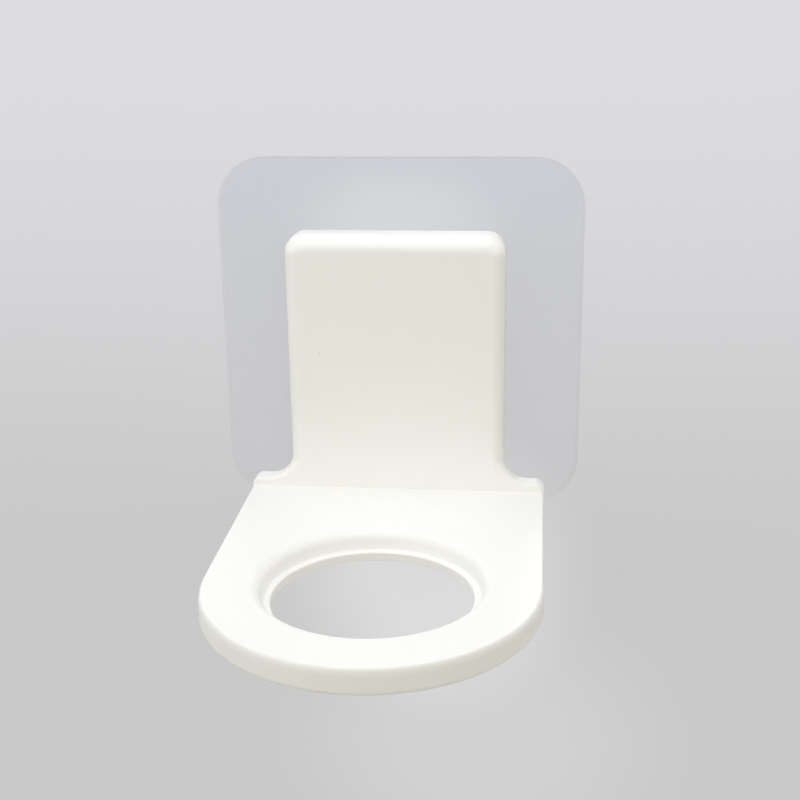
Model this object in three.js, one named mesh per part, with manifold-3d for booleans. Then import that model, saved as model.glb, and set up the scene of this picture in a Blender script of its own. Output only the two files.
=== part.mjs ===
// Wall-mounted bottle holder: a white moulded bracket, bonded to a clear square sheet that sticks to the wall.
//
// Lengths are in millimetres. +Z is up and +Y points into the wall, whose face is the plane y = 0.
// x = 0 is the bracket's middle plane, and z = 0 is the middle of the sheet's height.
// A bottle hangs by its shoulder in the dished hole of the shelf.

import * as THREE from "three";
import { mergeVertices } from "three/addons/utils/BufferGeometryUtils.js";
import Module from "manifold-3d";

// Clear sheet, and the gel layer between it and the wall
const SHEET_WIDTH = 79.8;
const SHEET_HEIGHT = 79;
const SHEET_THICKNESS = 0.8;
const SHEET_CORNER_RADIUS = 10.9;
const SHEET_SHIFT = 0.5; // how far the sheet's middle lies to the right of the bracket's
const ADHESIVE_THICKNESS = 0.6;
const ADHESIVE_INSET = 0.3;

// Pad between the sheet and the bracket's back
const PAD_THICKNESS = 0.8;
const PAD_INSET = 1;

// Upright plate
const PLATE_WIDTH = 47.7;
const PLATE_RISE = 57.5; // from the shelf's top to the plate's top
const PLATE_DEPTH = 7.2;
const PLATE_CORNER_RADIUS = 4.2;
const PLATE_EDGE_RADIUS = 2.8;
const PLATE_TOP_EDGE_RADIUS = 3.6;

// Foot, where the plate flares out to the shelf's width
const FOOT_RISE = 1.9; // from the shelf's top to the foot's top
const FOOT_DEPTH = 3.7;
const FOOT_FLARE_RADIUS = 5.3;
const FOOT_CORNER_RADIUS = 2.2;
const FOOT_EDGE_RADIUS = 0.7;

// Shelf with a round front end
const SHELF_WIDTH = 66.2;
const SHELF_RUN = 46.2; // from the plate's front to the centre of the round end
const SHELF_THICKNESS = 5.6;
const SHELF_DROP = 33.7; // from the sheet's middle down to the shelf's top
const SHELF_EDGE_RADIUS = 1.1;
const SHELF_LOWER_EDGE_RADIUS = 1.4;

// Bottle hole, with a flat land at the foot of a rounded dish
const HOLE_DIAMETER = 39.5;
const HOLE_SETBACK = 0.75; // from the centre of the round end back to the hole's centre
const SEAT_DEPTH = 3.75;
const SEAT_LAND = 1.1;
const SEAT_FILLET = 0.45;
const SEAT_EDGE_RADIUS = 2.4;

// Coring of the moulding, from behind the plate and from under the shelf
const WALL = 2.2;
const RIB = 1.4;
const POCKET_CORNER_RADIUS = 1.2;
const POCKET_COLUMNS = 2;
const POCKET_ROWS = 3;
const RING_RIBS = 8;

// Fineness of the round forms, as steps in a quarter turn
const CORNER_STEPS = 8;
const EDGE_STEPS = 4;
const HOLE_STEPS = 16;
const FRONT_STEPS = 16;

// How far a cutting form runs past the face that it opens
const OVERRUN = 1;

// Planes and centres that follow from the sizes above
const SHEET_BACK_Y = -ADHESIVE_THICKNESS;
const SHEET_FRONT_Y = SHEET_BACK_Y - SHEET_THICKNESS;
const PLATE_BACK_Y = SHEET_FRONT_Y - PAD_THICKNESS;
const PLATE_FRONT_Y = PLATE_BACK_Y - PLATE_DEPTH;
const SHELF_TOP_Z = -SHELF_DROP;
const SHELF_BOTTOM_Z = SHELF_TOP_Z - SHELF_THICKNESS;
const PLATE_HEIGHT = PLATE_RISE + SHELF_THICKNESS;
const FRONT_CENTRE_Y = PLATE_FRONT_Y - SHELF_RUN;
const HOLE_CENTRE_Y = FRONT_CENTRE_Y + HOLE_SETBACK;
const HOLE_RADIUS = HOLE_DIAMETER / 2;
const LAND_RADIUS = HOLE_RADIUS + SEAT_LAND;

const wasm = await Module();
wasm.setup();

// Solids from three.js geometry, and back again

function solidFrom(geometry) {
  const bare = geometry.clone();
  bare.deleteAttribute("normal");
  bare.deleteAttribute("uv");
  const merged = mergeVertices(bare, 1e-5);
  const corners = merged.index.array;
  const kept = [];
  for (let i = 0; i < corners.length; i += 3) {
    const [a, b, c] = corners.subarray(i, i + 3);
    if (a !== b && b !== c && c !== a) kept.push(a, b, c);
  }
  const vertProperties = new Float32Array(merged.attributes.position.array);
  const triVerts = new Uint32Array(kept);
  return new wasm.Manifold(new wasm.Mesh({ numProp: 3, vertProperties, triVerts }));
}

function geometryFrom(solid) {
  const { numProp, vertProperties, triVerts } = solid.getMesh();
  const geometry = new THREE.BufferGeometry();
  const interleaved = new THREE.InterleavedBuffer(vertProperties, numProp);
  geometry.setAttribute("position", new THREE.InterleavedBufferAttribute(interleaved, 3, 0));
  geometry.setIndex(new THREE.BufferAttribute(triVerts, 1));
  const flat = geometry.toNonIndexed();
  flat.computeVertexNormals();
  return flat;
}

// Turns a form drawn in x and z, with its depth along +z, so that it stands upright and faces the room

function standUp(geometry) {
  return geometry.rotateX(Math.PI / 2);
}

// A rectangle with round corners, centred on the origin

function roundedRectangle(width, height, radius) {
  const x = width / 2;
  const y = height / 2;
  const r = Math.min(radius, x, y);
  return new THREE.Shape()
    .moveTo(r - x, -y)
    .lineTo(x - r, -y)
    .absarc(x - r, r - y, r, -Math.PI / 2, 0)
    .lineTo(x, y - r)
    .absarc(x - r, y - r, r, 0, Math.PI / 2)
    .lineTo(r - x, y)
    .absarc(r - x, y - r, r, Math.PI / 2, Math.PI)
    .lineTo(-x, r - y)
    .absarc(r - x, r - y, r, Math.PI, 1.5 * Math.PI);
}

// A flat slab of a shape, standing upright between two planes of y

function uprightSlab(shape, backY, thickness) {
  const options = { depth: thickness, bevelEnabled: false, curveSegments: CORNER_STEPS };
  return standUp(new THREE.ExtrudeGeometry(shape, options)).translate(0, backY, 0);
}

// Outline points without repeats, anticlockwise

function outlinePoints(path, stepsInArc) {
  const points = path.getPoints(stepsInArc);
  const distinct = points.filter((point, i) => {
    const next = points[(i + 1) % points.length];
    return point.distanceTo(next) > 1e-4;
  });
  return THREE.ShapeUtils.isClockWise(distinct) ? distinct.reverse() : distinct;
}

// For each outline point, the step inwards that moves both its sides in by one unit

function inwardSteps(points) {
  const sideNormals = points.map((point, i) => {
    const side = points[(i + 1) % points.length].clone().sub(point).normalize();
    return new THREE.Vector2(-side.y, side.x);
  });
  return sideNormals.map((after, i) => {
    const before = sideNormals[(i + points.length - 1) % points.length];
    return before.clone().add(after).divideScalar(1 + before.dot(after));
  });
}

// A slab from z = 0 to its thickness, with both edges rounded. The upper radius may change along the outline.

function roundedSlab(points, thickness, upperRadiusAt, lowerRadius) {
  const steps = inwardSteps(points);
  const ringAt = (insetAt, heightAt) =>
    points.map((point, i) => {
      const moved = point.clone().addScaledVector(steps[i], insetAt(point));
      return new THREE.Vector3(moved.x, moved.y, heightAt(point));
    });
  const quarter = (k) => ((k / EDGE_STEPS) * Math.PI) / 2;
  const rings = [];
  for (let k = 0; k <= EDGE_STEPS; k++) {
    const inset = lowerRadius * (1 - Math.sin(quarter(k)));
    const height = lowerRadius * (1 - Math.cos(quarter(k)));
    rings.push(ringAt(() => inset, () => height));
  }
  for (let k = 0; k <= EDGE_STEPS; k++) {
    const inset = (point) => upperRadiusAt(point) * (1 - Math.cos(quarter(k)));
    const height = (point) => thickness - upperRadiusAt(point) * (1 - Math.sin(quarter(k)));
    rings.push(ringAt(inset, height));
  }
  return closedLoft(rings);
}

// A closed skin over rings of equally many points, each ring flat at the two ends

function closedLoft(rings) {
  const count = rings[0].length;
  const corners = [];
  for (let j = 0; j + 1 < rings.length; j++) {
    for (let i = 0; i < count; i++) {
      const a = j * count + i;
      const b = j * count + ((i + 1) % count);
      corners.push(a, b, b + count, a, b + count, a + count);
    }
  }
  const flatOf = (ring) => ring.map((point) => new THREE.Vector2(point.x, point.y));
  const top = (rings.length - 1) * count;
  for (const [a, b, c] of THREE.ShapeUtils.triangulateShape(flatOf(rings[0]), [])) {
    corners.push(c, b, a);
  }
  for (const [a, b, c] of THREE.ShapeUtils.triangulateShape(flatOf(rings.at(-1)), [])) {
    corners.push(top + a, top + b, top + c);
  }
  const geometry = new THREE.BufferGeometry().setFromPoints(rings.flat());
  return geometry.setIndex(corners);
}

// Upright panel: the plate and the flared foot, seen from the front, with z = 0 at the shelf's top

function panelOutline() {
  const x = PLATE_WIDTH / 2;
  const footX = SHELF_WIDTH / 2;
  const corner = PLATE_CORNER_RADIUS;
  const footCorner = FOOT_CORNER_RADIUS;
  const lower = SHELF_LOWER_EDGE_RADIUS;
  const flare = Math.min(FOOT_FLARE_RADIUS, footX - x - footCorner);
  const flareZ = FOOT_RISE + flare;
  const path = new THREE.Path()
    .absarc(lower - footX, lower - SHELF_THICKNESS, lower, Math.PI, 1.5 * Math.PI)
    .absarc(footX - lower, lower - SHELF_THICKNESS, lower, 1.5 * Math.PI, 2 * Math.PI)
    .absarc(footX - footCorner, FOOT_RISE - footCorner, footCorner, 0, Math.PI / 2)
    .absarc(x + flare, flareZ, flare, 1.5 * Math.PI, Math.PI, true)
    .absarc(x - corner, PLATE_RISE - corner, corner, 0, Math.PI / 2)
    .absarc(corner - x, PLATE_RISE - corner, corner, Math.PI / 2, Math.PI)
    .absarc(-x - flare, flareZ, flare, 0, -Math.PI / 2, true)
    .absarc(footCorner - footX, FOOT_RISE - footCorner, footCorner, Math.PI / 2, Math.PI);
  return outlinePoints(path, CORNER_STEPS);
}

// The front edge is softest along the plate's top and grows crisp down the flare

function panelEdgeRadius(point) {
  const flare = THREE.MathUtils.smoothstep(point.y, FOOT_RISE, FOOT_RISE + FOOT_FLARE_RADIUS);
  const corner = THREE.MathUtils.smoothstep(point.y, PLATE_RISE - PLATE_CORNER_RADIUS, PLATE_RISE);
  const side = THREE.MathUtils.lerp(FOOT_EDGE_RADIUS, PLATE_EDGE_RADIUS, flare);
  return THREE.MathUtils.lerp(side, PLATE_TOP_EDGE_RADIUS, corner);
}

function panelSolid() {
  const panel = standUp(roundedSlab(panelOutline(), PLATE_DEPTH, panelEdgeRadius, 0));
  return solidFrom(panel.translate(0, PLATE_BACK_Y, SHELF_TOP_Z)).subtract(spaceBehindFoot());
}

// The foot is shallower than the plate: the space behind it, on both sides of the plate

function spaceBehindFoot() {
  const depth = PLATE_DEPTH - FOOT_DEPTH;
  const height = FOOT_RISE + FOOT_FLARE_RADIUS + SHELF_THICKNESS + 2 * OVERRUN;
  const width = (SHELF_WIDTH - PLATE_WIDTH) / 2 + OVERRUN;
  const middleX = PLATE_WIDTH / 2 + width / 2;
  const middleY = PLATE_BACK_Y - depth / 2 + OVERRUN / 2;
  const middleZ = SHELF_BOTTOM_Z - OVERRUN + height / 2;
  const sides = [-1, 1].map((side) => {
    const space = new THREE.BoxGeometry(width, depth + OVERRUN, height);
    return solidFrom(space.translate(side * middleX, middleY, middleZ));
  });
  return sides[0].add(sides[1]);
}

// Shelf outline seen from above: straight sides, then half a circle at the front

function shelfOutline(inset, backY, stepsInQuarter) {
  const x = SHELF_WIDTH / 2 - inset;
  const path = new THREE.Path()
    .moveTo(x, backY)
    .lineTo(-x, backY)
    .absarc(0, FRONT_CENTRE_Y, x, Math.PI, 2 * Math.PI);
  return outlinePoints(path, 2 * stepsInQuarter);
}

function shelfSolid() {
  const outline = shelfOutline(0, PLATE_FRONT_Y + FOOT_DEPTH, FRONT_STEPS);
  const slab = roundedSlab(outline, SHELF_THICKNESS, () => SHELF_EDGE_RADIUS, SHELF_LOWER_EDGE_RADIUS);
  return solidFrom(slab.translate(0, 0, SHELF_BOTTOM_Z));
}

// Form turned about the hole's axis, from a profile of radius and height over the shelf's top

function turnedAtHole(profile) {
  const turned = new THREE.LatheGeometry(profile, 4 * HOLE_STEPS).rotateX(Math.PI / 2);
  return solidFrom(turned.translate(0, HOLE_CENTRE_Y, SHELF_TOP_Z));
}

// The hole and its dish: a flat land, a small fillet, a short wall, then a round edge up to the shelf's top

function bottleHole() {
  const wallBottom = SEAT_FILLET - SEAT_DEPTH;
  const wallRadius = LAND_RADIUS + SEAT_FILLET;
  const round = Math.min(SEAT_EDGE_RADIUS, -wallBottom);
  const profile = new THREE.Path()
    .moveTo(0, -SHELF_THICKNESS - OVERRUN)
    .lineTo(HOLE_RADIUS, -SHELF_THICKNESS - OVERRUN)
    .lineTo(HOLE_RADIUS, -SEAT_DEPTH)
    .lineTo(LAND_RADIUS, -SEAT_DEPTH)
    .absarc(LAND_RADIUS, wallBottom, SEAT_FILLET, -Math.PI / 2, 0)
    .absarc(wallRadius + round, -round, round, Math.PI, Math.PI / 2, true)
    .lineTo(wallRadius + round, OVERRUN)
    .lineTo(0, OVERRUN);
  return turnedAtHole(profile.getPoints(EDGE_STEPS));
}

// Pockets behind the plate, in columns and rows between ribs

function platePockets() {
  const width = (PLATE_WIDTH - 2 * WALL - (POCKET_COLUMNS - 1) * RIB) / POCKET_COLUMNS;
  const height = (PLATE_HEIGHT - 2 * WALL - (POCKET_ROWS - 1) * RIB) / POCKET_ROWS;
  const shape = roundedRectangle(width, height, POCKET_CORNER_RADIUS);
  const firstX = -PLATE_WIDTH / 2 + WALL + width / 2;
  const firstZ = SHELF_BOTTOM_Z + WALL + height / 2;
  const pockets = [];
  for (let column = 0; column < POCKET_COLUMNS; column++) {
    for (let row = 0; row < POCKET_ROWS; row++) {
      const pocket = uprightSlab(shape, PLATE_BACK_Y + OVERRUN, PLATE_DEPTH - WALL + OVERRUN);
      const x = firstX + column * (width + RIB);
      const z = firstZ + row * (height + RIB);
      pockets.push(solidFrom(pocket.translate(x, 0, z)));
    }
  }
  return pockets.reduce((all, pocket) => all.add(pocket));
}

// Pocket under the shelf, inside the skirt and outside the ring wall, split by ribs that stand round the ring

function shelfPockets() {
  const depth = SHELF_THICKNESS - WALL;
  const outline = shelfOutline(WALL, PLATE_FRONT_Y, FRONT_STEPS);
  const options = { depth: depth + OVERRUN, bevelEnabled: false };
  const floor = new THREE.ExtrudeGeometry(new THREE.Shape(outline), options);
  const pocket = solidFrom(floor.translate(0, 0, SHELF_BOTTOM_Z - OVERRUN));
  return pocket.subtract(ringWall()).subtract(ringRibs());
}

function ringWall() {
  const radius = LAND_RADIUS + SEAT_FILLET + WALL;
  const low = -SHELF_THICKNESS - 2 * OVERRUN;
  const profile = new THREE.Path().moveTo(0, low).lineTo(radius, low).lineTo(radius, 0).lineTo(0, 0);
  return turnedAtHole(profile.getPoints());
}

function ringRibs() {
  const reach = SHELF_WIDTH + SHELF_RUN;
  const height = SHELF_THICKNESS + 2 * OVERRUN;
  const ribs = [];
  for (let i = 0; i < RING_RIBS; i++) {
    const rib = new THREE.BoxGeometry(reach, RIB, height);
    rib.translate(reach / 2, 0, SHELF_BOTTOM_Z);
    rib.rotateZ(((i + 0.5) / RING_RIBS) * 2 * Math.PI);
    ribs.push(solidFrom(rib.translate(0, HOLE_CENTRE_Y, 0)));
  }
  return ribs.reduce((all, rib) => all.add(rib));
}

// The pieces

function holderBracket() {
  const body = panelSolid().add(shelfSolid());
  const cored = body.subtract(bottleHole()).subtract(platePockets()).subtract(shelfPockets());
  return geometryFrom(cored);
}

function bondingPad() {
  const shape = roundedRectangle(
    PLATE_WIDTH - 2 * PAD_INSET,
    PLATE_HEIGHT - 2 * PAD_INSET,
    PLATE_CORNER_RADIUS - PAD_INSET,
  );
  const middleZ = SHELF_BOTTOM_Z + PLATE_HEIGHT / 2;
  return uprightSlab(shape, SHEET_FRONT_Y, PAD_THICKNESS).translate(0, 0, middleZ);
}

function sheetShape(inset) {
  return roundedRectangle(SHEET_WIDTH - 2 * inset, SHEET_HEIGHT - 2 * inset, SHEET_CORNER_RADIUS - inset);
}

function backingSheet() {
  return uprightSlab(sheetShape(0), SHEET_BACK_Y, SHEET_THICKNESS).translate(SHEET_SHIFT, 0, 0);
}

function wallAdhesive() {
  return uprightSlab(sheetShape(ADHESIVE_INSET), 0, ADHESIVE_THICKNESS).translate(SHEET_SHIFT, 0, 0);
}

function piece(name, geometry, look) {
  const mesh = new THREE.Mesh(geometry, new THREE.MeshStandardMaterial(look));
  mesh.name = name;
  return mesh;
}

const clear = { metalness: 0, transparent: true };
const whitePlastic = { color: 0xf6f5f0, roughness: 0.38, metalness: 0 };
const padFoam = { color: 0xe9e8e2, roughness: 0.7, metalness: 0 };
const clearSheet = { ...clear, color: 0xdfe4e8, roughness: 0.12, opacity: 0.3 };
const clearGel = { ...clear, color: 0xe6eaec, roughness: 0.3, opacity: 0.25 };

const holder = new THREE.Group();
holder.add(
  piece("holder_bracket", holderBracket(), whitePlastic),
  piece("bonding_pad", bondingPad(), padFoam),
  piece("backing_sheet", backingSheet(), clearSheet),
  piece("wall_adhesive", wallAdhesive(), clearGel),
);

export default holder;
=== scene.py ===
"""Wall-mounted bottle holder: the looks of its white bracket, its pad and the clear sheet on the wall.

Lengths are in metres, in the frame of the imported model: +Z is up, +Y points into the wall, and the wall's
face is the plane y = 0. A bottle hangs by its shoulder in the dished hole of the shelf.
"""

import logging
import math
from collections.abc import Callable, Mapping, Sequence
from dataclasses import dataclass
from enum import Enum
from typing import Any

import bmesh
import bpy
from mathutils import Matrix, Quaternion, Vector


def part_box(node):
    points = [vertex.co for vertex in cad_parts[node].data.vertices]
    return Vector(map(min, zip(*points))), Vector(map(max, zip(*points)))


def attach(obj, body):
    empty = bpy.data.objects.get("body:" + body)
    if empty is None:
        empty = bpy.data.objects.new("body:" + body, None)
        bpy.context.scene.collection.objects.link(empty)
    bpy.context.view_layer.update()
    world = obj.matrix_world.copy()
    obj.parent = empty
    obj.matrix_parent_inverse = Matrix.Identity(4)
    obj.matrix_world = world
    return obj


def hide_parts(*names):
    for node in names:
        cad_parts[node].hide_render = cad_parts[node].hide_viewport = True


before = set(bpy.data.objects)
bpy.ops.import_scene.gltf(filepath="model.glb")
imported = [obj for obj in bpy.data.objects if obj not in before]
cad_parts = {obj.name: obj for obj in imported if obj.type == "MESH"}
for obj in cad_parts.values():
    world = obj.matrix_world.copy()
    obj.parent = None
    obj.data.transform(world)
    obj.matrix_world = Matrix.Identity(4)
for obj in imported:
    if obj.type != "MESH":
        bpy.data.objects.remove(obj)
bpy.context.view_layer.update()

log = logging.getLogger("bottle_holder")

Point = tuple[float, float, float]
Colour = tuple[float, float, float]
Ring = list[Vector]
Inputs = Mapping[str | int, Any]
Socket = bpy.types.NodeSocket

MM = 0.001
QUARTER = math.pi / 2

# Points closer than NEAR count as one, and an edge of radius SHARP looks sharp

NEAR = 0.001 * MM
SHARP = 0.01 * MM


class Join(Enum):
    """How one closed form is worked into another."""

    UNION = "UNION"
    CUT = "DIFFERENCE"


class Slot(Enum):
    """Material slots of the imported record."""

    WHITE_PLASTIC = "white_plastic"
    PAD = "pad"
    CLEAR_SHEET = "clear_sheet"
    CLEAR_GEL = "clear_gel"


# Flat outlines and closed forms


@dataclass(frozen=True)
class Arc:
    """Arc of a flat outline, with its angles in quarter turns."""

    centre: tuple[float, float]
    radius: float
    start: float
    end: float

    def points(self, steps: int) -> list[Vector]:
        """Points along the arc.

        Args:
            steps: how many steps a quarter turn takes.

        Returns:
            The points, both ends included.
        """
        count = max(1, round(abs(self.end - self.start) * steps))
        turns = [self.start + (self.end - self.start) * k / count for k in range(count + 1)]
        x, y = self.centre
        return [
            Vector((x + self.radius * math.cos(t * QUARTER), y + self.radius * math.sin(t * QUARTER)))
            for t in turns
        ]


class Outline:
    """Closed flat outline, drawn anticlockwise."""

    def __init__(self, arcs: Sequence[Arc], steps: int) -> None:
        """Draws the outline through its arcs, with straight sides between them.

        Args:
            arcs: the arcs in order, anticlockwise round the outline.
            steps: how many steps a quarter turn takes.
        """
        drawn = [point for arc in arcs for point in arc.points(steps)]
        followed = zip(drawn, drawn[1:] + drawn[:1])
        self.points = [point for point, after in followed if (point - after).length > NEAR]

    @classmethod
    def rounded_rectangle(cls, width: float, height: float, radius: float, steps: int) -> "Outline":
        """A rectangle with round corners, centred on the origin.

        Args:
            width: size across.
            height: size up.
            radius: radius of the corners.
            steps: how many steps a corner takes.

        Returns:
            The outline.
        """
        x, y = width / 2 - radius, height / 2 - radius
        corners = [(x, -y, -1), (x, y, 0), (-x, y, 1), (-x, -y, 2)]
        return cls([Arc((cx, cy), radius, turn, turn + 1) for cx, cy, turn in corners], steps)

    def inward_steps(self) -> list[Vector]:
        """For each point, the step inwards that moves both its sides in by one unit.

        Returns:
            The steps, in the order of the points.
        """
        sides = [(b - a).normalized() for a, b in zip(self.points, self.points[1:] + self.points[:1])]
        inward = [Vector((-side.y, side.x)) for side in sides]
        pairs = zip(inward[-1:] + inward, inward)
        return [(before + after) / (1 + before.dot(after)) for before, after in pairs]


@dataclass(frozen=True)
class Edge:
    """Rounding of a slab's edge, where the radius may change along the outline.

    The spread is how far the rounding reaches in over the flat face, as a share of its radius.
    """

    radius_at: Callable[[Vector], float]
    steps: int
    spread: float = 1.0

    @classmethod
    def even(cls, radius: float, steps: int, spread: float = 1.0) -> "Edge":
        """An edge with one radius all round."""
        return cls(lambda _: radius, steps, spread)


def smoothstep(share: float) -> float:
    """Eases a share from 0 to 1, and holds it at both ends."""
    held = min(1.0, max(0.0, share))
    return held * held * (3 - 2 * held)


def slab_rings(outline: Outline, thickness: float, lower: Edge, upper: Edge) -> list[Ring]:
    """Rings of a slab from height 0 to its thickness, with both edges rounded.

    Args:
        outline: the slab's outline.
        thickness: the slab's height.
        lower: rounding of the edge at height 0.
        upper: rounding of the edge at the top.

    Returns:
        The rings from the bottom to the top, as points of x, y and height.
    """
    inward = outline.inward_steps()

    def ring(edge: Edge, share: float, at_top: bool) -> Ring:
        """One ring of a rounded edge.

        Args:
            edge: the edge.
            share: share of the quarter turn from the flat face to the side.
            at_top: whether it is the edge at the top.

        Returns:
            The ring.
        """
        made = []
        for point, step in zip(outline.points, inward):
            radius = edge.radius_at(point)
            moved = point + step * radius * edge.spread * (1 - math.sin(share * QUARTER))
            rise = radius * (1 - math.cos(share * QUARTER))
            made.append(Vector((moved.x, moved.y, thickness - rise if at_top else rise)))
        return made

    below = [ring(lower, k / lower.steps, False) for k in range(lower.steps + 1)]
    above = [ring(upper, k / upper.steps, True) for k in range(upper.steps, -1, -1)]
    return below + above


def turned_rings(profile: Sequence[Vector], centre: Vector, steps: int) -> list[Ring]:
    """Rings of a form turned about an upright axis.

    Args:
        profile: points of radius and height, from the bottom up.
        centre: where the axis crosses height 0.
        steps: how many steps a full turn takes.

    Returns:
        One ring for each point of the profile.
    """
    turns = [2 * math.pi * k / steps for k in range(steps)]
    return [
        [centre + Vector((point.x * math.cos(t), point.x * math.sin(t), point.y)) for t in turns]
        for point in profile
    ]


def upright_rings(flat: Sequence[Vector], levels: Sequence[float]) -> list[Ring]:
    """A flat outline repeated at several heights."""
    return [[Vector((point.x, point.y, level)) for point in flat] for level in levels]


def moved_rings(rings: Sequence[Ring], step: Vector) -> list[Ring]:
    """Rings moved by a step."""
    return [[point + step for point in ring] for ring in rings]


class Form:
    """Closed mesh form that other forms are joined to or cut from."""

    def __init__(self, name: str, lofts: Sequence[Sequence[Ring]]) -> None:
        """Makes the form as an object of the scene.

        Args:
            name: the object's name.
            lofts: closed bodies, each given as its rings of equally many points.
        """
        mesh = bpy.data.meshes.new(name)
        shape = bmesh.new()
        for rings in lofts:
            rows = [[shape.verts.new(point) for point in ring] for ring in rings]
            for low, high in zip(rows, rows[1:]):
                for i, corner in enumerate(low):
                    after = (i + 1) % len(low)
                    shape.faces.new((corner, low[after], high[after], high[i]))
            shape.faces.new(rows[0][::-1])
            shape.faces.new(rows[-1])
        shape.to_mesh(mesh)
        shape.free()
        self.object = bpy.data.objects.new(name, mesh)
        bpy.context.scene.collection.objects.link(self.object)

    def settle(self) -> None:
        """Takes the result of the modifiers as the form's own mesh."""
        graph = bpy.context.evaluated_depsgraph_get()
        worked = bpy.data.meshes.new_from_object(self.object.evaluated_get(graph))
        worked.name = self.object.name
        self.object.modifiers.clear()
        spent = self.object.data
        self.object.data = worked
        bpy.data.meshes.remove(spent)

    def work(self, tool: "Form", how: Join) -> None:
        """Joins another form to this one, or cuts it away, and uses that form up.

        Args:
            tool: the other form.
            how: whether it is joined or cut.
        """
        joined = self.object.modifiers.new("work", "BOOLEAN")
        joined.operation = how.value
        joined.solver = "EXACT"
        joined.object = tool.object
        self.settle()
        spent = tool.object.data
        bpy.data.objects.remove(tool.object)
        bpy.data.meshes.remove(spent)

    def soften(self, radius: float, steps: int, angle: float) -> None:
        """Rounds every edge that turns more than an angle.

        Args:
            radius: width of the rounding.
            steps: how many steps the rounding takes.
            angle: the least turn, in degrees.
        """
        rounding = self.object.modifiers.new("soften", "BEVEL")
        rounding.width = radius
        rounding.segments = steps
        rounding.limit_method = "ANGLE"
        rounding.angle_limit = math.radians(angle)
        self.settle()

    def round_edges(self, chosen: Callable[[Vector, Vector], bool], radius: float, steps: int) -> None:
        """Rounds the edges that a test picks by their two ends.

        Args:
            chosen: says whether an edge between two points is rounded.
            radius: width of the rounding.
            steps: how many steps the rounding takes.
        """
        shape = bmesh.new()
        shape.from_mesh(self.object.data)
        edges = [edge for edge in shape.edges if chosen(edge.verts[0].co, edge.verts[1].co)]
        bmesh.ops.bevel(
            shape, geom=edges, offset=radius, offset_type="OFFSET", segments=steps, profile=0.5,
            affect="EDGES", clamp_overlap=True,
        )
        shape.to_mesh(self.object.data)
        shape.free()

    def weld(self, reach: float) -> None:
        """Makes points that lie side by side into one, and drops the slivers between them.

        Args:
            reach: how close such points lie.
        """
        shape = bmesh.new()
        shape.from_mesh(self.object.data)
        bmesh.ops.remove_doubles(shape, verts=shape.verts, dist=reach)
        bmesh.ops.dissolve_degenerate(shape, edges=shape.edges, dist=reach)
        shape.to_mesh(self.object.data)
        shape.free()

    def finish(self, angle: float) -> bpy.types.Object:
        """Smooths the shading of round forms and keeps flat faces flat.

        Args:
            angle: edges that turn more than this, in degrees, stay crisp.

        Returns:
            The form's object.
        """
        mesh = self.object.data
        mesh.polygons.foreach_set("use_smooth", [True] * len(mesh.polygons))
        mesh.set_sharp_from_angle(angle=math.radians(angle))
        weighted = self.object.modifiers.new("flat_faces", "WEIGHTED_NORMAL")
        weighted.mode = "FACE_AREA"
        weighted.weight = 100
        weighted.keep_sharp = True
        return self.object


# Nodes and shared effects


def dimmed(colour: Colour, share: float) -> Colour:
    """A colour dimmed to a share."""
    red, green, blue = colour
    return (share * red, share * green, share * blue)


def rgba(colour: Colour) -> tuple[float, float, float, float]:
    """A colour as the value of a colour socket."""
    return (*colour, 1.0)


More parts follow.
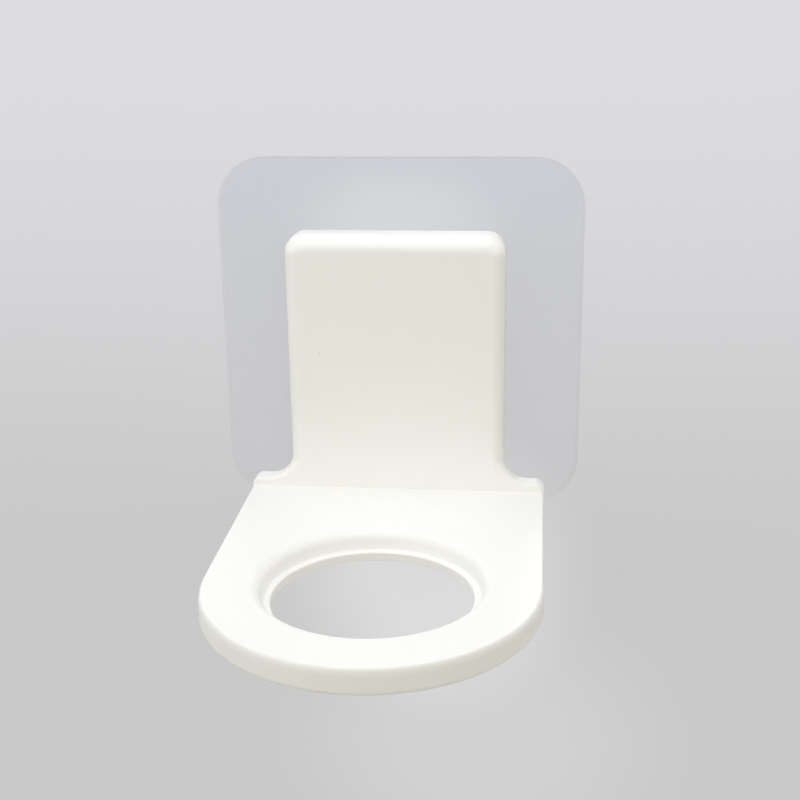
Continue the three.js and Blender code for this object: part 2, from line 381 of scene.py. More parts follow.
class Wiring:
    """Places and joins the nodes of one node tree."""

    def __init__(self, tree: bpy.types.NodeTree) -> None:
        """Starts on an emptied tree."""
        self.tree = tree
        tree.nodes.clear()

    def add(self, kind: str, inputs: Inputs | None = None, **settings: Any) -> bpy.types.Node:
        """Places a node.

        Args:
            kind: the node's type.
            inputs: for each input, a value or the socket that feeds it.
            settings: the node's own settings.

        Returns:
            The node.
        """
        node = self.tree.nodes.new(kind)
        for name, value in settings.items():
            setattr(node, name, value)
        for name, value in (inputs or {}).items():
            if isinstance(value, Socket):
                self.tree.links.new(value, node.inputs[name])
            else:
                node.inputs[name].default_value = value
        return node

    def math(self, operation: str, *terms: Any) -> Socket:
        """Result of a sum or product of values and sockets."""
        return self.add("ShaderNodeMath", dict(enumerate(terms)), operation=operation).outputs[0]

    def spread(self, value: Socket, low: Any, high: Any, to_low: Any, to_high: Any) -> Socket:
        """Maps a value smoothly from one range to another.

        Args:
            value: the socket that is mapped.
            low: start of its range.
            high: end of its range.
            to_low: result at the start.
            to_high: result at the end.

        Returns:
            The socket of the result.
        """
        inputs = {0: value, 1: low, 2: high, 3: to_low, 4: to_high}
        return self.add("ShaderNodeMapRange", inputs, interpolation_type="SMOOTHSTEP").outputs[0]

    def blend(self, share: Any, first: Any, second: Any) -> Socket:
        """Colour between two colours."""
        inputs = {0: share, 6: first, 7: second}
        return self.add("ShaderNodeMix", inputs, data_type="RGBA").outputs[2]

    def place(self) -> Socket:
        """Point of the surface in the object's own frame."""
        return self.add("ShaderNodeTexCoord").outputs["Object"]

    def height(self) -> Socket:
        """Height of the surface's point in the object's own frame."""
        return self.add("ShaderNodeSeparateXYZ", {0: self.place()}).outputs["Z"]

    def distance(self, place: Socket, point: Point) -> Socket:
        """Distance between a place and a point."""
        ends = {0: place, 1: point}
        return self.add("ShaderNodeVectorMath", ends, operation="DISTANCE").outputs["Value"]

    def noise(self, scale: Any, detail: float, roughness: float = 0.5) -> Socket:
        """Noise over the surface, with a share of finer detail."""
        inputs = {"Vector": self.place(), "Scale": scale, "Detail": detail, "Roughness": roughness}
        return self.add("ShaderNodeTexNoise", inputs).outputs[0]

    def bump(self, height: Socket, strength: float, distance: float) -> Socket:
        """Normal of a surface with fine relief."""
        inputs = {"Height": height, "Strength": strength, "Distance": distance}
        return self.add("ShaderNodeBump", inputs).outputs[0]

    def effect(self, group: bpy.types.NodeTree, inputs: Inputs) -> bpy.types.NodeOutputs:
        """Results of a shared effect with its own values."""
        return self.add("ShaderNodeGroup", inputs, node_tree=group).outputs

    def surface(self, shader: bpy.types.Node) -> None:
        """Shows a shader on the surface."""
        self.add("ShaderNodeOutputMaterial", {"Surface": shader.outputs[0]})


def new_effect(
    name: str, values: Mapping[str, float], colours: Mapping[str, Colour], results: Mapping[str, str],
) -> Wiring:
    """Starts a shared effect.

    Args:
        name: the effect's name.
        values: its number inputs and their usual values.
        colours: its colour inputs and their usual values.
        results: its outputs, each with its socket type.

    Returns:
        The wiring of the empty effect.
    """
    group = bpy.data.node_groups.new(name, "ShaderNodeTree")
    for label, value in values.items():
        socket = group.interface.new_socket(label, in_out="INPUT", socket_type="NodeSocketFloat")
        socket.default_value = value
    for label, colour in colours.items():
        socket = group.interface.new_socket(label, in_out="INPUT", socket_type="NodeSocketColor")
        socket.default_value = rgba(colour)
    for label, kind in results.items():
        group.interface.new_socket(label, in_out="OUTPUT", socket_type=kind)
    return Wiring(group)


class Effects:
    """Shared surface effects, each built once."""

    def __init__(self) -> None:
        """Builds every effect."""
        self.tone = self._tone_drift()
        self.grain = self._moulded_grain()
        self.rim = self._rim_distance()
        self.dust = self._settled_dust()

    def drifting(self, w: Wiring, scale: float, tone: Colour, other: Colour) -> Socket:
        """Colour that drifts between two tones, in a material's wiring."""
        inputs = {"Scale": scale, "Tone": rgba(tone), "Other tone": rgba(other)}
        return w.effect(self.tone, inputs)["Colour"]

    @staticmethod
    def _tone_drift() -> bpy.types.NodeTree:
        """Slow drift between two close tones, as in a batch of plastic.

        Returns:
            The effect.
        """
        tones = {"Tone": (0.8, 0.8, 0.8), "Other tone": (0.7, 0.7, 0.7)}
        w = new_effect("Tone drift", {"Scale": 20.0}, tones, {"Colour": "NodeSocketColor"})
        given = w.add("NodeGroupInput").outputs
        drift = w.spread(w.noise(given["Scale"], detail=3.0, roughness=0.45), 0.3, 0.7, 0.0, 1.0)
        w.add("NodeGroupOutput", {"Colour": w.blend(drift, given["Tone"], given["Other tone"])})
        return w.tree

    @staticmethod
    def _moulded_grain() -> bpy.types.NodeTree:
        """Fine grain of a tool face over a slow waviness.

        Returns:
            The effect.
        """
        values = {"Scale": 2600.0, "Wave scale": 60.0, "Wave share": 0.5}
        results = {"Height": "NodeSocketFloat", "Mask": "NodeSocketFloat"}
        w = new_effect("Moulded grain", values, {}, results)
        given = w.add("NodeGroupInput").outputs
        fine = w.noise(given["Scale"], detail=2.0)
        wave = w.noise(given["Wave scale"], detail=1.0)
        height = w.add("ShaderNodeMix", {0: given["Wave share"], 2: fine, 3: wave}).outputs[0]
        w.add("NodeGroupOutput", {"Height": height, "Mask": w.spread(fine, 0.3, 0.7, 0.0, 1.0)})
        return w.tree

    @staticmethod
    def _rim_distance() -> bpy.types.NodeTree:
        """How far a point lies inside an upright rectangle with round corners.

        Returns:
            The effect.
        """
        values = {
            "Centre X": 0.0, "Centre Z": 0.0, "Half width": 0.04, "Half height": 0.04,
            "Corner radius": 0.01,
        }
        w = new_effect("Rim distance", values, {}, {"Inside": "NodeSocketFloat"})
        given = w.add("NodeGroupInput").outputs
        point = w.add("ShaderNodeSeparateXYZ", {0: w.place()}).outputs
        past = []
        for axis, centre, half in (("X", "Centre X", "Half width"), ("Z", "Centre Z", "Half height")):
            off = w.math("ABSOLUTE", w.math("SUBTRACT", point[axis], given[centre]))
            core = w.math("SUBTRACT", given[half], given["Corner radius"])
            past.append(w.math("SUBTRACT", off, core))
        across, up = (w.math("MAXIMUM", side, 0.0) for side in past)
        squares = w.math("ADD", w.math("MULTIPLY", across, across), w.math("MULTIPLY", up, up))
        inner = w.math("MINIMUM", w.math("MAXIMUM", *past), 0.0)
        beyond = w.math("SUBTRACT", w.math("ADD", w.math("SQRT", squares), inner), given["Corner radius"])
        w.add("NodeGroupOutput", {"Inside": w.math("MULTIPLY", beyond, -1.0)})
        return w.tree

    @staticmethod
    def _settled_dust() -> bpy.types.NodeTree:
        """Thin dust on the faces that look up.

        Returns:
            The effect.
        """
        w = new_effect("Settled dust", {"Amount": 0.2, "Scale": 900.0}, {}, {"Mask": "NodeSocketFloat"})
        given = w.add("NodeGroupInput").outputs
        normal = w.add("ShaderNodeNewGeometry").outputs["Normal"]
        up = w.add("ShaderNodeSeparateXYZ", {0: normal}).outputs["Z"]
        specks = w.spread(w.noise(given["Scale"], detail=4.0), 0.45, 0.7, 0.0, 1.0)
        lying = w.math("MULTIPLY", w.spread(up, 0.4, 1.0, 0.0, 1.0), specks)
        w.add("NodeGroupOutput", {"Mask": w.math("MULTIPLY", lying, given["Amount"])})
        return w.tree


# Finishes


def new_material(name: str) -> tuple[bpy.types.Material, Wiring]:
    """An empty node material.

    Args:
        name: the material's name.

    Returns:
        The material and its wiring.
    """
    material = bpy.data.materials.new(name)
    material.use_nodes = True
    return material, Wiring(material.node_tree)


@dataclass(frozen=True)
class WhitePlastic:
    """Satin white moulded plastic, a little warm, with one dark fleck in the plate."""

    tone: Colour = (0.93, 0.925, 0.915)
    other_tone: Colour = (0.922, 0.913, 0.9)
    roughness: float = 0.42
    roughness_drift: float = 0.04
    fleck_tone: Colour = (0.5, 0.42, 0.34)
    fleck_at: Point = (-0.0165, -0.0094, -0.002)
    fleck_radius: float = 0.3 * MM
    fleck_core: float = 0.4
    fleck_strength: float = 0.35

    def material(self, effects: Effects) -> bpy.types.Material:
        """Builds the finish.

        Args:
            effects: the shared effects.

        Returns:
            The material.
        """
        material, w = new_material("white_plastic")
        tone = effects.drifting(w, 26.0, self.tone, self.other_tone)
        grain = w.effect(effects.grain, {"Scale": 2400.0, "Wave scale": 70.0, "Wave share": 0.6})
        dust = w.effect(effects.dust, {"Amount": 0.25, "Scale": 700.0})
        away = w.distance(w.place(), self.fleck_at)
        core = self.fleck_core * self.fleck_radius
        fleck = w.spread(away, core, self.fleck_radius, self.fleck_strength, 0.0)
        smooth, rough = self.roughness - self.roughness_drift, self.roughness + self.roughness_drift
        shader = w.add("ShaderNodeBsdfPrincipled", {
            "Base Color": w.blend(fleck, tone, rgba(self.fleck_tone)),
            "Roughness": w.math("ADD", w.spread(grain["Mask"], 0.0, 1.0, smooth, rough), dust["Mask"]),
            "Normal": w.bump(grain["Height"], strength=0.25, distance=0.08 * MM),
            "IOR": 1.52,
            "Specular IOR Level": 0.3,
        })
        w.surface(shader)
        return material


@dataclass(frozen=True)
class ClearLayer:
    """Clear layer which dims what lies behind it, most of all near its top, with a darker rim of painted
    shade where its cut edge bends the light away.

    A cover is the share of what lies behind that the layer hides: at the top, at the bottom and at the rim.
    """

    name: str
    tint: Colour
    rim_shade_tint: Colour
    cover: float
    low_cover: float
    rim_cover: float
    rim_width: float
    roughness: float
    grain_scale: float
    rim_core: float = 0.35
    smoothest: float = -0.03
    roughest: float = 0.05

    def material(self, effects: Effects, rim: Mapping[str, float]) -> bpy.types.Material:
        """Builds the finish.

        Args:
            effects: the shared effects.
            rim: the outline of the layer, as the values of the rim effect.

        Returns:
            The material.
        """
        material, w = new_material(self.name)
        inside = w.effect(effects.rim, rim)["Inside"]
        # The rim's darker tint and larger cover are painted shade, standing in for the light that the cut
        # edge bends away
        rim_start, rim_end = self.rim_core * self.rim_width, self.rim_width
        tone = effects.drifting(w, 45.0, self.tint, dimmed(self.tint, 0.96))
        edge = w.spread(inside, rim_start, rim_end, 1.0, 0.0)
        grain = w.effect(effects.grain, {"Scale": self.grain_scale, "Wave scale": 90.0, "Wave share": 0.7})
        smooth, rough = self.roughness + self.smoothest, self.roughness + self.roughest
        half = rim["Half height"]
        inner = w.spread(w.height(), -half, half, self.low_cover, self.cover)
        covers = w.spread(inside, rim_start, rim_end, self.rim_cover, inner)
        facing = w.math("SUBTRACT", 1.0, w.add("ShaderNodeNewGeometry").outputs["Backfacing"])
        shader = w.add("ShaderNodeBsdfPrincipled", {
            "Base Color": w.blend(edge, tone, rgba(self.rim_shade_tint)),
            "Roughness": w.spread(grain["Mask"], 0.0, 1.0, smooth, rough),
            "Normal": w.bump(grain["Height"], strength=0.15, distance=0.05 * MM),
            "IOR": 1.49,
            "Alpha": w.math("MULTIPLY", covers, facing),
        })
        w.surface(shader)
        return material


# Each layer's rim tint and rim cover paint the shade along its cut edge
CLEAR_SHEET = ClearLayer(
    name="clear_sheet", tint=(0.2, 0.3, 0.44), rim_shade_tint=(0.3, 0.33, 0.38), cover=0.07, low_cover=0.02,
    rim_cover=0.22, rim_width=0.35 * MM, roughness=0.2, grain_scale=900.0,
)
CLEAR_GEL = ClearLayer(
    name="clear_gel", tint=(0.2, 0.28, 0.4), rim_shade_tint=(0.2, 0.24, 0.3), cover=0.09, low_cover=0.03,
    rim_cover=0.16, rim_width=0.3 * MM, roughness=0.4, grain_scale=1500.0,
)


@dataclass(frozen=True)
class PadFoam:
    """Matte white foam of a double-sided pad, with fine cells."""

    tone: Colour = (0.78, 0.78, 0.74)
    other_tone: Colour = (0.7, 0.7, 0.66)
    pit_tone: Colour = (0.5, 0.5, 0.47)

    def material(self, effects: Effects) -> bpy.types.Material:
        """Builds the finish.

        Args:
            effects: the shared effects.

        Returns:
            The material.
        """
        material, w = new_material("pad_foam")
        tone = effects.drifting(w, 120.0, self.tone, self.other_tone)
        cells = w.add("ShaderNodeTexVoronoi", {"Vector": w.place(), "Scale": 2600.0}).outputs["Distance"]
        grain = w.effect(effects.grain, {"Scale": 4000.0, "Wave scale": 500.0, "Wave share": 0.3})
        pits = w.spread(cells, low=0.0, high=0.35, to_low=0.55, to_high=0.0)
        height = w.math("ADD", cells, grain["Height"])
        shader = w.add("ShaderNodeBsdfPrincipled", {
            "Base Color": w.blend(pits, tone, rgba(self.pit_tone)),
            "Roughness": w.spread(grain["Mask"], 0.0, 1.0, 0.7, 0.9),
            "Normal": w.bump(height, strength=0.6, distance=0.1 * MM),
        })
        w.surface(shader)
        return material


# Pieces


def show(piece: bpy.types.Object, node: str, material: bpy.types.Material) -> None:
    """Dresses a piece and lets it stand for its node.

    Args:
        piece: the finished object.
        node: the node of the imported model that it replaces.
        material: the piece's finish.
    """
    piece.data.materials.clear()
    piece.data.materials.append(material)
    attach(piece, "root")
    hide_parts(node)
    log.info("%s: %d faces", piece.name, len(piece.data.polygons))


@dataclass
class HolderBracket:
    """White moulding: an upright plate on a flared foot, and a shelf with a dished bottle hole."""

    plate_width: float = 47.7 * MM
    plate_depth: float = 7.2 * MM
    plate_corner: float = 4.2 * MM
    plate_edge: float = 2.8 * MM
    plate_top_edge: float = 3.6 * MM
    back_edge: float = 0.25 * MM
    foot_rise: float = 1.9 * MM
    foot_depth: float = 3.7 * MM
    foot_flare: float = 5.3 * MM
    foot_corner: float = 2.2 * MM
    foot_edge: float = 0.7 * MM
    shelf_thickness: float = 5.6 * MM
    shelf_edge: float = 1.8 * MM
    shelf_edge_spread: float = 0.35
    shelf_lower_edge: float = 1.4 * MM
    crease: float = 0.45 * MM
    hole_radius: float = 19.75 * MM
    hole_setback: float = 0.75 * MM
    hole_lower_edge: float = 0.12 * MM
    seat_depth: float = 3.75 * MM
    seat_land: float = 0.9 * MM
    seat_fillet: float = 0.45 * MM
    seat_edge: float = 2.4 * MM
    seat_slope: float = 74.0
    land_edge: float = 0.25 * MM
    wall: float = 2.2 * MM
    rib: float = 1.4 * MM
    pocket_corner: float = 1.2 * MM
    pocket_fillet: float = 0.5 * MM
    pocket_columns: int = 2
    pocket_rows: int = 3
    rib_count: int = 8
    corner_steps: int = 20
    edge_steps: int = 10
    front_steps: int = 40
    turn_steps: int = 192
    pocket_steps: int = 6
    fillet_steps: int = 5
    small_steps: int = 4
    hidden_steps: int = 3
    hidden_angle: float = 40.0
    crisp_angle: float = 32.0
    overrun: float = 1.0 * MM
    weld_reach: float = 0.01 * MM

    def __post_init__(self) -> None:
        """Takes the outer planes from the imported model."""
        low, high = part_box("holder_bracket")
        self.half_width = high.x
        self.back_y = high.y
        self.front_y = self.back_y - self.plate_depth
        self.bottom_z = low.z
        self.top_z = self.bottom_z + self.shelf_thickness
        self.rise = high.z - self.top_z
        self.round_y = low.y + self.half_width
        self.hole_at = Vector((0, self.round_y + self.hole_setback, self.top_z))
        self.ring_radius = self.hole_radius + self.seat_land + self.seat_fillet + self.wall

    def stood_up(self, rings: Sequence[Ring]) -> list[Ring]:
        """Rings stood up at the plate's back, so that height turns into depth towards the room."""
        return [[Vector((p.x, self.back_y - p.z, p.y + self.top_z)) for p in ring] for ring in rings]

    def panel(self) -> Form:
        """The plate and its flared foot, whose front edge is softest at the top and crisp down the flare.

        Returns:
            The form.
        """
        x, foot_x = self.plate_width / 2, self.half_width
        flare_z = self.foot_rise + self.foot_flare
        low, corner, foot = self.shelf_lower_edge, self.plate_corner, self.foot_corner
        base_z = low - self.shelf_thickness
        outline = Outline([
            Arc((low - foot_x, base_z), low, 2, 3),
            Arc((foot_x - low, base_z), low, 3, 4),
            Arc((foot_x - foot, self.foot_rise - foot), foot, 0, 1),
            Arc((x + self.foot_flare, flare_z), self.foot_flare, 3, 2),
            Arc((x - corner, self.rise - corner), corner, 0, 1),
            Arc((corner - x, self.rise - corner), corner, 1, 2),
            Arc((-x - self.foot_flare, flare_z), self.foot_flare, 0, -1),
            Arc((foot - foot_x, self.foot_rise - foot), foot, 1, 2),
        ], self.corner_steps)
        back, front = Edge.even(self.back_edge, self.hidden_steps), Edge(self.front_edge, self.edge_steps)
        rings = slab_rings(outline, self.plate_depth, back, front)
        panel = Form("holder_bracket_moulding", [self.stood_up(rings)])
        panel.work(self.space_behind_foot(), Join.CUT)
        return panel

    def front_edge(self, point: Vector) -> float:
        """Radius of the panel's front edge.

        Args:
            point: a point of the panel's outline, where y is the height over the shelf's top.

        Returns:
            The radius.
        """
        flare = smoothstep((point.y - self.foot_rise) / self.foot_flare)
        corner = smoothstep((point.y - self.rise + self.plate_corner) / self.plate_corner)
        side = self.foot_edge + (self.plate_edge - self.foot_edge) * flare
        return side + (self.plate_top_edge - side) * corner

    def space_behind_foot(self) -> Form:
        """The space behind the foot, which is shallower than the plate, on both sides of the plate.

        Returns:
            The form.
        """
        depth = self.plate_depth - self.foot_depth + self.overrun
        width = self.half_width - self.plate_width / 2 + self.overrun
        high_z = self.top_z + self.foot_rise + self.foot_flare + self.overrun
        levels = (self.bottom_z - self.overrun, high_z)
        block = upright_rings(Outline.rounded_rectangle(width, depth, SHARP, 1).points, levels)
        centre_y = self.back_y + self.overrun - depth / 2
        sides = [Vector((side * (self.plate_width + width) / 2, centre_y, 0)) for side in (-1, 1)]
        return Form("space_behind_foot", [moved_rings(block, centre) for centre in sides])

    def shelf_outline(self, inset: float, back_y: float) -> Outline:
        """The shelf from above: straight sides, then half a circle at the front.

        Args:
            inset: how far inside the shelf's own outline it lies.
            back_y: where it ends at the back.

        Returns:
            The outline.
        """
        x = self.half_width - inset
        corners = [Arc((x, back_y), 0, 0, 1), Arc((-x, back_y), 0, 1, 2)]
        return Outline([*corners, Arc((0, self.round_y), x, 2, 4)], self.front_steps)

    def shelf(self) -> Form:
        """The shelf's slab, whose top edge is tight over the face and long down the side.

        Returns:
            The form.
        """
        outline = self.shelf_outline(0, self.front_y + self.foot_depth)
        lower = Edge.even(self.shelf_lower_edge, self.edge_steps)
        upper = Edge.even(self.shelf_edge, self.edge_steps, self.shelf_edge_spread)
        rings = slab_rings(outline, self.shelf_thickness, lower, upper)
        return Form("shelf", [moved_rings(rings, Vector((0, 0, self.bottom_z)))])

    def bottle_hole(self) -> Form:
        """The hole and its dish: a flat land, a small fillet, a sloping wall, then a round edge.

        Returns:
            The form.
        """
        hole, land = self.hole_radius, self.hole_radius + self.seat_land
        low, seat = -self.shelf_thickness, -self.seat_depth
        lower, upper = self.hole_lower_edge, self.land_edge
        slope = math.radians(self.seat_slope)
        turn = slope / QUARTER
        rounded = self.seat_fillet + self.seat_edge
        rise = self.seat_depth - rounded * (1 - math.cos(slope))
        rim = land + rounded * math.sin(slope) + rise / math.tan(slope)
        profile = [
            Vector((hole + lower, low - self.overrun)),
            *Arc((hole + lower, low + lower), lower, 3, 2).points(self.small_steps)[1:],
            *Arc((hole + upper, seat - upper), upper, 2, 1).points(self.small_steps),
            *Arc((land, seat + self.seat_fillet), self.seat_fillet, 3, 3 + turn).points(self.fillet_steps),
            *Arc((rim, -self.seat_edge), self.seat_edge, 1 + turn, 1).points(self.edge_steps),
            Vector((rim, self.overrun)),
        ]
        return Form("bottle_hole", [turned_rings(profile, self.hole_at, self.turn_steps)])

    def plate_pockets(self) -> Form:
        """Pockets behind the plate, in columns and rows between ribs.

        Returns:
            The form.
        """
        columns, rows = self.pocket_columns, self.pocket_rows
        height = self.rise + self.shelf_thickness
        wide = (self.plate_width - 2 * self.wall - (columns - 1) * self.rib) / columns
        tall = (height - 2 * self.wall - (rows - 1) * self.rib) / rows
        outline = Outline.rounded_rectangle(wide, tall, self.pocket_corner, self.pocket_steps)
        depth = self.plate_depth - self.wall + self.overrun
        floor = Edge.even(self.pocket_fillet, self.small_steps)
        rings = slab_rings(outline, depth, Edge.even(SHARP, 1), floor)
        lofts = []
        for column in range(columns):
            for row in range(rows):
                across = -self.plate_width / 2 + self.wall + wide / 2 + column * (wide + self.rib)
                up = self.wall - self.shelf_thickness + tall / 2 + row * (tall + self.rib)
                lofts.append(self.stood_up(moved_rings(rings, Vector((across, up, -self.overrun)))))
        return Form("plate_pockets", lofts)

    def shelf_pockets(self) -> Form:
        """Pocket under the shelf, inside the skirt and outside the ring wall, split by ribs.

        Returns:
            The form.
        """
        levels = (self.bottom_z - self.overrun, self.top_z - self.wall)
        outline = self.shelf_outline(self.wall, self.front_y)
        pocket = Form("shelf_pockets", [upright_rings(outline.points, levels)])
        low = -self.shelf_thickness - 2 * self.overrun
        ring = [Vector((self.ring_radius, low)), Vector((self.ring_radius, 0))]
        pocket.work(Form("ring_wall", [turned_rings(ring, self.hole_at, self.turn_steps)]), Join.CUT)
        pocket.work(self.ring_ribs(), Join.CUT)
        pocket.soften(self.pocket_fillet, self.hidden_steps, self.hidden_angle)
        return pocket

    def ring_ribs(self) -> Form:
        """Ribs that stand out from the ring wall under the shelf.

        Returns:
            The form.
        """
        # Each rib starts inside the ring wall and runs out past the skirt
        start, reach = self.hole_radius, 3 * self.half_width
        base = Vector((self.hole_at.x, self.hole_at.y, 0))
        levels = (self.bottom_z - 2 * self.overrun, self.top_z)
        lofts = []
        for i in range(self.rib_count):
            turn = (i + 0.5) / self.rib_count * 2 * math.pi
            along = Vector((math.cos(turn), math.sin(turn), 0))
            half = Vector((-along.y, along.x, 0)) * self.rib / 2
            flat = [along * start - half, along * reach - half, along * reach + half, along * start + half]
            lofts.append(moved_rings(upright_rings(flat, levels), base))
        return Form("ring_ribs", lofts)

    def on_crease(self, first: Vector, second: Vector) -> bool:
        """Whether an edge lies where the shelf's top meets the upright panel."""
        ends = (first, second)
        return all(abs(p.y - self.front_y) < NEAR and abs(p.z - self.top_z) < NEAR for p in ends)

    def build(self) -> bpy.types.Object:
        """Moulds the bracket.

        Returns:
            The finished object.
        """
        body = self.panel()
        body.work(self.shelf(), Join.UNION)
        body.work(self.bottle_hole(), Join.CUT)
        body.work(self.plate_pockets(), Join.CUT)
        body.work(self.shelf_pockets(), Join.CUT)
        body.round_edges(self.on_crease, self.crease, self.small_steps)
        body.weld(self.weld_reach)
        return body.finish(self.crisp_angle)

    def dress(self, piece: bpy.types.Object, effects: Effects) -> None:
        """Gives the moulding its finish."""
        show(piece, "holder_bracket", WhitePlastic().material(effects))


@dataclass
class FlatLayer:
    """Flat layer that stands upright: the pad, the sheet or its gel, filling the box of its node."""

    node: str
    name: str
    corner: float
    edge: float
    drawn_in: float = 0.0
    corner_steps: int = 20
    edge_steps: int = 4
    crisp_angle: float = 40.0

    def __post_init__(self) -> None:
        """Takes the box of the node, with both faces drawn in so that no two faces coincide."""
        low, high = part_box(self.node)
        step = Vector((0, self.drawn_in, 0))
        self.low, self.high = low + step, high - step
        self.centre = (self.low + self.high) / 2
        self.size = self.high - self.low

    def build(self) -> bpy.types.Object:
        """Makes the layer, with its edges rounded.

        Returns:
            The finished object.
        """
        outline = Outline.rounded_rectangle(self.size.x, self.size.z, self.corner, self.corner_steps)
        edge = Edge.even(self.edge, self.edge_steps)
        x, y, z = self.centre.x, self.high.y, self.centre.z
        rings = slab_rings(outline, self.size.y, edge, edge)
        placed = [[Vector((x + p.x, y - p.z, z + p.y)) for p in ring] for ring in rings]
        return Form(self.name, [placed]).finish(self.crisp_angle)

    def rim(self) -> dict[str, float]:
        """The layer's outline, as the values of the rim effect.

        Returns:
            The values by the names of the effect's inputs.
        """
        return {
            "Centre X": self.centre.x, "Centre Z": self.centre.z, "Half width": self.size.x / 2,
            "Half height": self.size.z / 2, "Corner radius": self.corner,
        }


@dataclass
class WallSheet:
    """Clear square sheet, the gel that sticks it to the wall, and the pad that carries the bracket."""

    corner: float = 10.9 * MM
    sheet_edge: float = 0.2 * MM
    gel_inset: float = 0.3 * MM
    gel_edge: float = 0.15 * MM
    pad_corner: float = 3.2 * MM
    pad_edge: float = 0.25 * MM
    drawn_in: float = 0.03 * MM

    def __post_init__(self) -> None:
        """Sets out the three layers."""
        step, gel_corner = self.drawn_in, self.corner - self.gel_inset
        self.sheet = FlatLayer("backing_sheet", "clear_sheet", self.corner, self.sheet_edge)
        self.gel = FlatLayer("wall_adhesive", "gel_layer", gel_corner, self.gel_edge, step)
        self.pad = FlatLayer("bonding_pad", "bonding_pad_foam", self.pad_corner, self.pad_edge, step)

    def build(self) -> list[bpy.types.Object]:
        """Makes the sheet, the gel and the pad, in that order."""
        return [layer.build() for layer in (self.sheet, self.gel, self.pad)]

    def dress(self, pieces: Sequence[bpy.types.Object], effects: Effects) -> None:
        """Gives the layers their finishes. The clear ones cast no shadow.

        Args:
            pieces: the sheet, the gel and the pad.
            effects: the shared effects.
        """
        sheet, gel, pad = pieces
        show(sheet, self.sheet.node, CLEAR_SHEET.material(effects, self.sheet.rim()))
        show(gel, self.gel.node, CLEAR_GEL.material(effects, self.gel.rim()))
        show(pad, self.pad.node, PadFoam().material(effects))
        for clear in (sheet, gel):
            clear.visible_shadow = False


# Stage, light and camera


WARM: Colour = (1.0, 0.965, 0.86)
PLAIN: Colour = (0.885, 0.93, 1.0)
WHITE: Colour = (1.0, 1.0, 1.0)


@dataclass(frozen=True)
class Lamp:
    """Square soft lamp, with its side in metres and its power in watts."""

    name: str
    at: Point
    size: float
    power: float
    colour: Colour

    def place(self, aim: Vector) -> None:
        """Sets the lamp up.

        Args:
            aim: the point that it faces.
        """
        data = bpy.data.lights.new(self.name, "AREA")
        data.size = self.size
        data.energy = self.power
        data.color = self.colour
        made = bpy.data.objects.new(self.name, data)
        made.location = self.at
        made.rotation_euler = (aim - Vector(self.at)).to_track_quat("-Z", "Y").to_euler()
        bpy.context.scene.collection.objects.link(made)


@dataclass(frozen=True)
class Spill:
    """Soft patch of stray light on the wall.

    Distances across, the centre's too, count by the share flatten. The core is the share of the reach that
    has the full strength.
    """

    centre: Point
    flatten: float
    reach: float
    strength: float
    core: float = 0.2

    def strength_at(self, w: Wiring) -> Socket:
        """Strength of the patch over the wall.

        Args:
            w: the wiring of the wall's finish.

        Returns:
            The socket of the strength.
        """
        drawn = w.add("ShaderNodeVectorMath", {0: w.place(), 1: (self.flatten, 1, 1)}, operation="MULTIPLY")
        away = w.distance(drawn.outputs[0], self.centre)
        return w.spread(away, self.core * self.reach, self.reach, self.strength, 0.0)


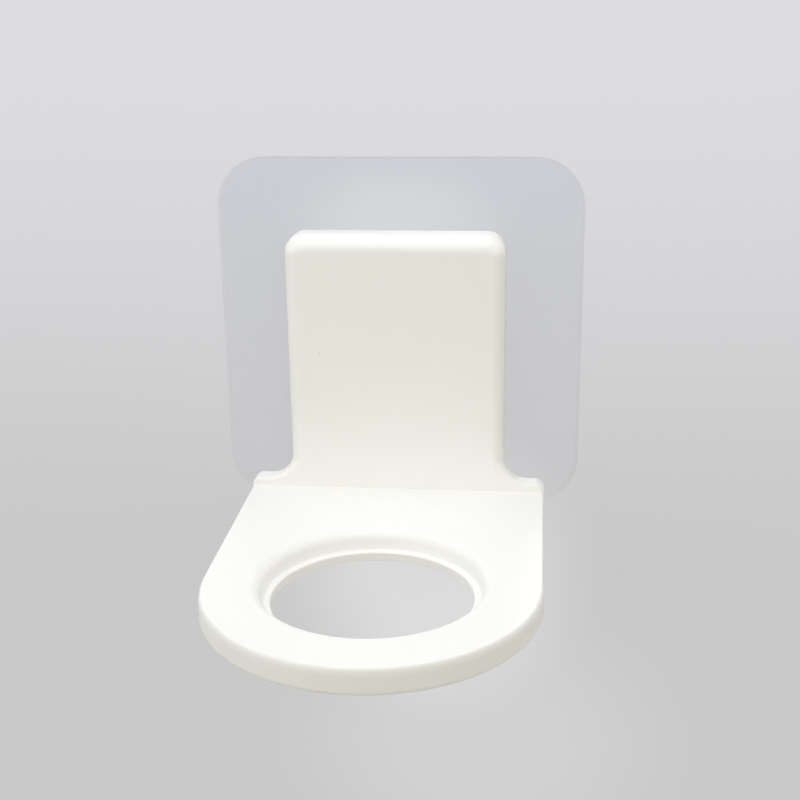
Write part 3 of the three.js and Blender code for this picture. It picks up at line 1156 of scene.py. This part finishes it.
@dataclass
class Studio:
    """Pale wall and floor, soft light from above and the camera."""

    wall_tone: Colour = (0.80, 0.81, 0.83)
    floor_tone: Colour = (0.74, 0.74, 0.74)
    # Painted light on the wall for the camera: a glow that is darker towards the bottom, and spills,
    # painted patches of light thrown back by the shelf and the plate's top
    high_glow: Colour = (0.728, 0.722, 0.758)
    low_glow: Colour = (0.586, 0.585, 0.592)
    glow_share: float = 0.9
    glow_from: float = -60 * MM
    glow_to: float = 70 * MM
    spills: tuple[Spill, ...] = (
        Spill((0.006, 0, -0.059), 1.0, 0.045, 0.36),
        Spill((0.0144, 0, -0.105), 0.8, 0.05, 0.16),
        Spill((0, 0, 0.026), 0.55, 0.016, 0.25),
    )
    reach: float = 1.6
    floor_z: float = -0.7
    wall_gap: float = 0.2 * MM
    behind_reach: float = 8 * MM
    ambient: float = 0.285
    backdrop: Colour = (0.7, 0.715, 0.74)
    lamp_aim: Point = (0, -0.04, -0.02)
    lamps: tuple[Lamp, ...] = (
        Lamp("top_lamp", (0, -0.05, 0.3), 0.25, 0.6, PLAIN),
        Lamp("back_lamp", (0, 0.35, 0.75), 0.8, 0.26, PLAIN),
        Lamp("rear_lamp", (0, 0.9, -0.03), 0.2, 5.0, PLAIN),
        Lamp("side_lamp", (-0.8, -0.12, 0.25), 0.5, 1.62, PLAIN),
        Lamp("high_left_lamp", (-0.7, -0.9, 0.5), 0.8, 2.65, WARM),
        Lamp("high_right_lamp", (0.7, -0.9, 0.5), 0.8, 3.4, WARM),
        Lamp("low_left_lamp", (-0.9, -0.7, -0.1), 0.8, 1.16, WARM),
        Lamp("low_right_lamp", (0.9, -0.7, -0.1), 0.8, 1.2, WARM),
    )
    camera_at: Point = (30.508 * MM, -281.088 * MM, 80.095 * MM)
    camera_aim: Point = (1.007 * MM, -9.4 * MM, -12.604 * MM)
    camera_roll: float = -0.815
    focal_length: float = 58.971
    sensor_width: float = 36.0
    clip_start: float = 0.01

    @staticmethod
    def plane(name: str, corners: Sequence[Point], material: bpy.types.Material) -> bpy.types.Object:
        """Adds a plane of the stage.

        Args:
            name: the object's name.
            corners: its four corners, anticlockwise seen from the room.
            material: its finish.

        Returns:
            The plane.
        """
        mesh = bpy.data.meshes.new(name)
        mesh.from_pydata(corners, [], [(0, 1, 2, 3)])
        mesh.materials.append(material)
        made = bpy.data.objects.new(name, mesh)
        bpy.context.scene.collection.objects.link(made)
        return made

    def wall_finish(self, effects: Effects) -> bpy.types.Material:
        """Pale backdrop wall, which isn't there for what looks at it or starts from close behind its face.

        Args:
            effects: the shared effects.

        Returns:
            The material.
        """
        material, w = new_material("backdrop_wall")
        tone = effects.drifting(w, 3.0, self.wall_tone, dimmed(self.wall_tone, 0.985))
        shader = w.add("ShaderNodeBsdfPrincipled", {"Base Color": tone, "Roughness": 0.8})
        # For the camera the wall shows painted light: a glow that is darker towards the bottom, as under
        # light from above, with the spills as painted patches of light thrown back by the shelf and the
        # plate's top
        high = w.spread(w.height(), self.glow_from, self.glow_to, 0.0, 1.0)
        colour = w.blend(high, rgba(self.low_glow), rgba(self.high_glow))
        for spill in self.spills:
            colour = w.blend(spill.strength_at(w), colour, rgba(WHITE))
        glow = w.add("ShaderNodeEmission", {"Color": colour})
        path = w.add("ShaderNodeLightPath").outputs
        seen = w.math("MULTIPLY", path["Is Camera Ray"], self.glow_share)
        pale = w.add("ShaderNodeMixShader", {0: seen, 1: shader.outputs[0], 2: glow.outputs[0]})
        clear = w.add("ShaderNodeBsdfTransparent")
        near = w.math("LESS_THAN", path["Ray Length"], self.behind_reach)
        gone = w.math("MAXIMUM", w.add("ShaderNodeNewGeometry").outputs["Backfacing"], near)
        w.surface(w.add("ShaderNodeMixShader", {0: gone, 1: pale.outputs[0], 2: clear.outputs[0]}))
        return material

    def floor_finish(self, effects: Effects) -> bpy.types.Material:
        """Plain pale floor.

        Args:
            effects: the shared effects.

        Returns:
            The material.
        """
        material, w = new_material("pale_floor")
        tone = effects.drifting(w, 2.0, self.floor_tone, dimmed(self.floor_tone, 0.98))
        shader = w.add("ShaderNodeBsdfPrincipled", {"Base Color": tone, "Roughness": 0.7})
        glow = w.add("ShaderNodeEmission", {"Color": rgba(self.low_glow)})
        path = w.add("ShaderNodeLightPath").outputs
        seen = w.math("MULTIPLY", path["Is Camera Ray"], self.glow_share)
        w.surface(w.add("ShaderNodeMixShader", {0: seen, 1: shader.outputs[0], 2: glow.outputs[0]}))
        return material

    def build_stage(self, effects: Effects) -> None:
        """Sets up the wall, which lets the light from behind it pass, and the floor.

        Args:
            effects: the shared effects.
        """
        side, low, y = self.reach, self.floor_z, self.wall_gap
        upright = [(-side, y, low), (side, y, low), (side, y, side), (-side, y, side)]
        level = [(-side, -2 * side, low), (side, -2 * side, low), (side, y, low), (-side, y, low)]
        wall = self.plane("wall", upright, self.wall_finish(effects))
        wall.visible_shadow = False
        self.plane("floor", level, self.floor_finish(effects))

    def build_light(self) -> None:
        """Sets up the lamps and the pale surroundings."""
        for lamp in self.lamps:
            lamp.place(Vector(self.lamp_aim))
        world = bpy.data.worlds.new("pale_room")
        world.use_nodes = True
        w = Wiring(world.node_tree)
        seen = w.add("ShaderNodeLightPath").outputs["Is Camera Ray"]
        ambient = w.add("ShaderNodeBackground", {"Color": rgba(WARM), "Strength": self.ambient})
        backdrop = w.add("ShaderNodeBackground", {"Color": rgba(self.backdrop), "Strength": 1.0})
        mixed = w.add("ShaderNodeMixShader", {0: seen, 1: ambient.outputs[0], 2: backdrop.outputs[0]})
        w.add("ShaderNodeOutputWorld", {"Surface": mixed.outputs[0]})
        bpy.context.scene.world = world

    def build_camera(self) -> None:
        """Sets up the camera at the photographed angle."""
        data = bpy.data.cameras.new("camera")
        data.sensor_fit = "HORIZONTAL"
        data.sensor_width = self.sensor_width
        data.lens = self.focal_length
        data.clip_start = self.clip_start
        made = bpy.data.objects.new("camera", data)
        at, aim = Vector(self.camera_at), Vector(self.camera_aim)
        looking = (aim - at).to_track_quat("-Z", "Y")
        made.location = at
        made.rotation_mode = "QUATERNION"
        made.rotation_quaternion = looking @ Quaternion((0, 0, 1), math.radians(self.camera_roll))
        bpy.context.scene.collection.objects.link(made)
        bpy.context.scene.camera = made


def main() -> None:
    """Builds the camera, the pieces, the stage and the light in order."""
    logging.basicConfig(level=logging.INFO, format="%(name)s: %(message)s")
    bpy.context.scene.view_settings.view_transform = "Standard"
    studio = Studio()
    studio.build_camera()
    effects = Effects()
    bracket = HolderBracket()
    bracket.dress(bracket.build(), effects)
    sheet = WallSheet()
    sheet.dress(sheet.build(), effects)
    studio.build_stage(effects)
    studio.build_light()


if __name__ == "__main__":
    main()
